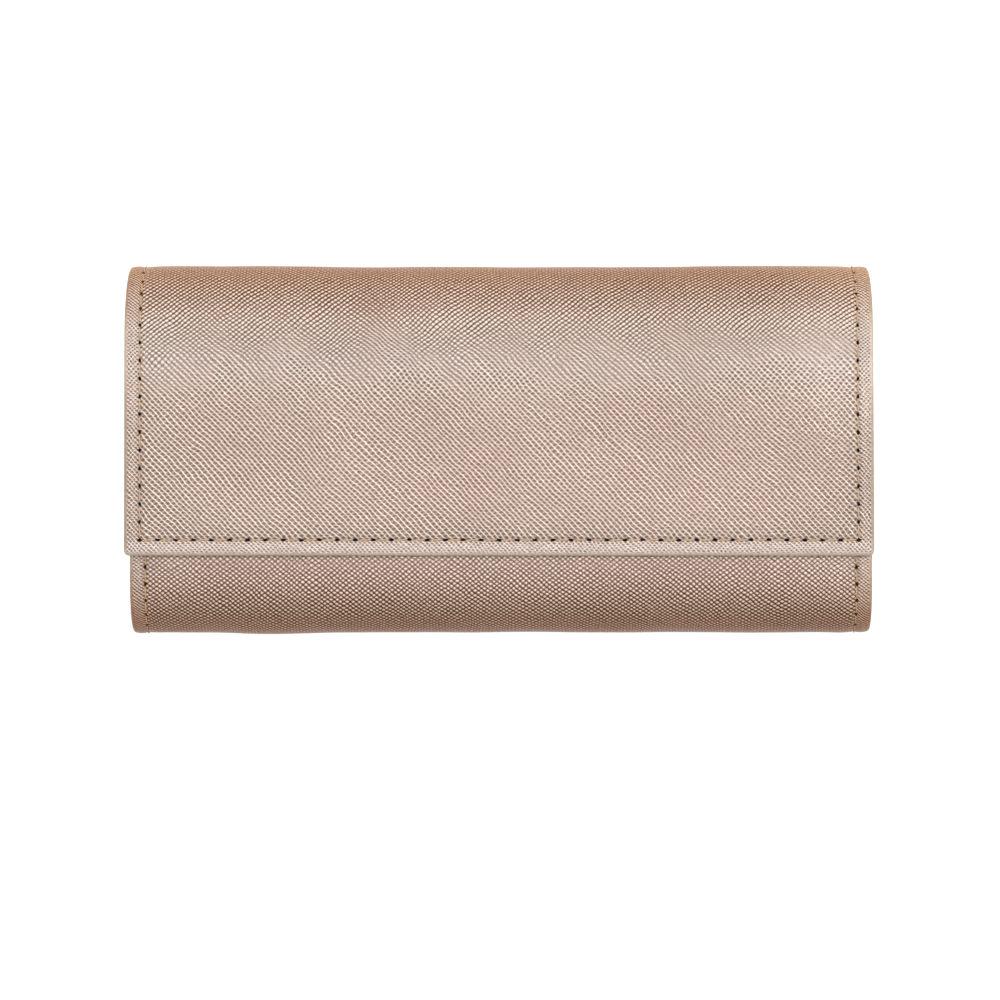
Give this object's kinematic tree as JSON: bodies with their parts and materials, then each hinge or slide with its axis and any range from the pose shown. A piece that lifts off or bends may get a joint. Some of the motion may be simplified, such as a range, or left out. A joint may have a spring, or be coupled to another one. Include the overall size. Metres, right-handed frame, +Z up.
{
  "type": "jewelry roll",
  "caption": "Rectangular travel roll for jewelry that folds in three, with a magnetic flap, a zipped pocket, a ring bar, an earring leaf and necklace tabs inside.",
  "frame": {"origin": "under the middle of the closed roll, on the surface that it rests on", "axes": "+X along the roll, +Y from the flap's free edge towards the fold that the flap hangs on, +Z up through the flap"},
  "size_m": [0.2, 0.0982, 0.038],
  "materials": {
    "cover_leather": "metallic rose gold faux leather with an embossed cross-hatch grain",
    "lining_suede": "soft matt suede",
    "padding_foam": "matt foam",
    "zip_fabric": "woven tape",
    "gold_metal": "polished light gold",
    "plain_steel": "bright nickel"
  },
  "bodies": {
    "base": {"base_cover": "cover_leather", "base_padding": "padding_foam", "base_lining": "lining_suede", "pocket_panel": "lining_suede", "zip_tape_far": "zip_fabric", "zip_teeth_far": "gold_metal", "zip_tape_near": "zip_fabric", "zip_teeth_near": "gold_metal", "zip_bottom_stop": "gold_metal", "zip_top_stop": "gold_metal", "necklace_stud_1": "gold_metal", "necklace_stud_2": "gold_metal", "necklace_stud_3": "gold_metal"},
    "far_fold_lower": {"far_fold_cover_lower": "cover_leather", "far_fold_lining_lower": "lining_suede"},
    "far_fold_middle": {"far_fold_cover_middle": "cover_leather", "far_fold_lining_middle": "lining_suede"},
    "far_fold_upper": {"far_fold_cover_upper": "cover_leather", "far_fold_lining_upper": "lining_suede"},
    "flap": {"flap_cover": "cover_leather", "flap_padding": "padding_foam", "flap_lining": "lining_suede", "flap_magnet": "plain_steel", "flap_magnet_washer": "plain_steel"},
    "near_fold_lower": {"near_fold_cover_lower": "cover_leather", "near_fold_lining_lower": "lining_suede"},
    "near_fold_middle": {"near_fold_cover_middle": "cover_leather", "near_fold_lining_middle": "lining_suede"},
    "near_fold_upper": {"near_fold_cover_upper": "cover_leather", "near_fold_lining_upper": "lining_suede"},
    "front_panel": {"front_cover": "cover_leather", "front_padding": "padding_foam", "front_lining": "lining_suede", "front_snap_plate": "plain_steel", "front_snap_washer": "plain_steel", "ring_bar_stud": "gold_metal"},
    "zip_slider": {"zip_slider": "gold_metal"},
    "zip_pull": {"zip_pull": "gold_metal"},
    "ring_bar": {"ring_bar_core": "padding_foam", "ring_bar_sleeve": "lining_suede", "ring_bar_snap_strap": "lining_suede", "ring_bar_sewn_strap": "lining_suede", "ring_bar_cap": "gold_metal"},
    "earring_leaf": {"earring_leaf": "lining_suede"},
    "necklace_tab_1": {"necklace_tab_1": "lining_suede", "necklace_cap_1": "gold_metal"},
    "necklace_tab_2": {"necklace_tab_2": "lining_suede", "necklace_cap_2": "gold_metal"},
    "necklace_tab_3": {"necklace_tab_3": "lining_suede", "necklace_cap_3": "gold_metal"}
  },
  "joints": [
    {"name": "far_fold_1", "type": "hinge", "parent": "base", "child": "far_fold_lower", "pos_m": [0, 0.03737, 0.00145], "axis": [-1, 0, 0], "range_deg": [0, 45]},
    {"name": "far_fold_2", "type": "hinge", "parent": "far_fold_lower", "child": "far_fold_middle", "pos_m": [0, 0.04765, 0.01173], "axis": [-1, 0, 0], "range_deg": [0, 45]},
    {"name": "far_fold_3", "type": "hinge", "parent": "far_fold_middle", "child": "far_fold_upper", "pos_m": [0, 0.04765, 0.02627], "axis": [-1, 0, 0], "range_deg": [0, 45]},
    {"name": "far_fold_4", "type": "hinge", "parent": "far_fold_upper", "child": "flap", "pos_m": [0, 0.03737, 0.03655], "axis": [-1, 0, 0], "range_deg": [0, 45]},
    {"name": "near_fold_1", "type": "hinge", "parent": "base", "child": "near_fold_lower", "pos_m": [0, -0.03922, 0.00122], "axis": [1, 0, 0], "range_deg": [0, 45]},
    {"name": "near_fold_2", "type": "hinge", "parent": "near_fold_lower", "child": "near_fold_middle", "pos_m": [0, -0.04788, 0.00988], "axis": [1, 0, 0], "range_deg": [0, 45]},
    {"name": "near_fold_3", "type": "hinge", "parent": "near_fold_middle", "child": "near_fold_upper", "pos_m": [0, -0.04788, 0.02212], "axis": [1, 0, 0], "range_deg": [0, 45]},
    {"name": "near_fold_4", "type": "hinge", "parent": "near_fold_upper", "child": "front_panel", "pos_m": [0, -0.03922, 0.03078], "axis": [1, 0, 0], "range_deg": [0, 45]},
    {"name": "zip_slide", "type": "slide", "parent": "base", "child": "zip_slider", "axis": [-1, 0, 0], "range_m": [0, 0.128], "deforming": ["zip_teeth_far", "zip_teeth_near"]},
    {"name": "pull_swing", "type": "hinge", "parent": "zip_slider", "child": "zip_pull", "pos_m": [0.0678, 0.0145, 0.01535], "axis": [0, 1, 0], "range_deg": [0, 190]},
    {"name": "ring_bar_lift", "type": "hinge", "parent": "front_panel", "child": "ring_bar", "pos_m": [-0.087, -0.0181, 0.0273], "axis": [0, 1, 0], "range_deg": [0, 3]},
    {"name": "earring_leaf_swing", "type": "hinge", "parent": "flap", "child": "earring_leaf", "pos_m": [0, 0.0275, 0.0333], "axis": [1, 0, 0], "range_deg": [0, 40]},
    {"name": "necklace_tab_1_lift", "type": "hinge", "parent": "base", "child": "necklace_tab_1", "pos_m": [-0.048, -0.0055, 0.0047], "axis": [-1, 0, 0], "range_deg": [0, 24]},
    {"name": "necklace_tab_2_lift", "type": "hinge", "parent": "base", "child": "necklace_tab_2", "pos_m": [0, -0.0055, 0.0047], "axis": [-1, 0, 0], "range_deg": [0, 24]},
    {"name": "necklace_tab_3_lift", "type": "hinge", "parent": "base", "child": "necklace_tab_3", "pos_m": [0.048, -0.0055, 0.0047], "axis": [-1, 0, 0], "range_deg": [0, 24]}
  ],
  "couplings": [
    {"joint": "far_fold_2", "follows": "far_fold_1", "ratio": 1},
    {"joint": "far_fold_3", "follows": "far_fold_1", "ratio": 1},
    {"joint": "far_fold_4", "follows": "far_fold_1", "ratio": 1},
    {"joint": "near_fold_1", "follows": "far_fold_1", "ratio": 1},
    {"joint": "near_fold_2", "follows": "far_fold_1", "ratio": 1},
    {"joint": "near_fold_3", "follows": "far_fold_1", "ratio": 1},
    {"joint": "near_fold_4", "follows": "far_fold_1", "ratio": 1}
  ]
}
